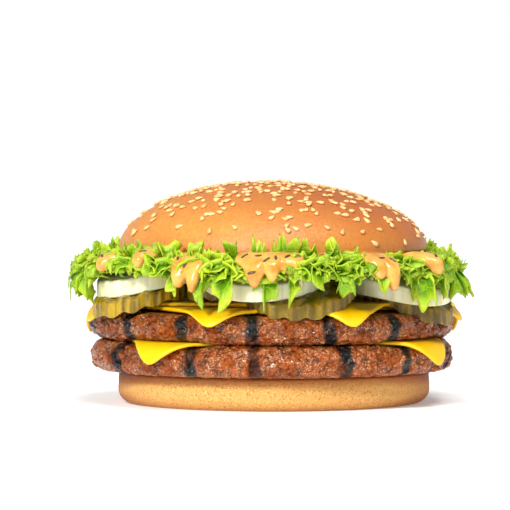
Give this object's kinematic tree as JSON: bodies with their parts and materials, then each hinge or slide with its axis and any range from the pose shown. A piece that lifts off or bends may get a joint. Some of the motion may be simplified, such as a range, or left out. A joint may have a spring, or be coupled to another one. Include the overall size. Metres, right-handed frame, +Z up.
{
  "type": "double cheeseburger",
  "caption": "Stacked cheeseburger with a seeded bun, beef patties, melted cheese, pickle, onion, ruffled lettuce and sauce; it rests on the flat underside of its bun.",
  "frame": {"origin": "middle of the flat underside of the heel, the lower half of the bun", "axes": "+Z up through the stack, -Y towards the side that the picture shows, +X to its right"},
  "size_m": [0.1426, 0.1431, 0.0776],
  "materials": {
    "crust": "baked golden, satin",
    "sesame": "matt, cream",
    "beef": "grilled, moist",
    "cheese": "smooth, softly shiny",
    "pickle": "wet, translucent",
    "onion": "wet, translucent",
    "lettuce": "crisp leaf, satin",
    "sauce": "glossy, creamy"
  },
  "bodies": {
    "root": {"heel": "crust", "crown": "crust", "patty_lower": "beef", "patty_upper": "beef", "cheese_lower": "cheese", "cheese_upper": "cheese", "cheese_top": "cheese", "lettuce": "lettuce", "pickle_1": "pickle", "pickle_2": "pickle", "pickle_3": "pickle", "pickle_4": "pickle", "pickle_5": "pickle", "pickle_6": "pickle", "onion_1": "onion", "onion_2": "onion", "onion_3": "onion", "onion_4": "onion", "onion_5": "onion"}
  },
  "joints": []
}
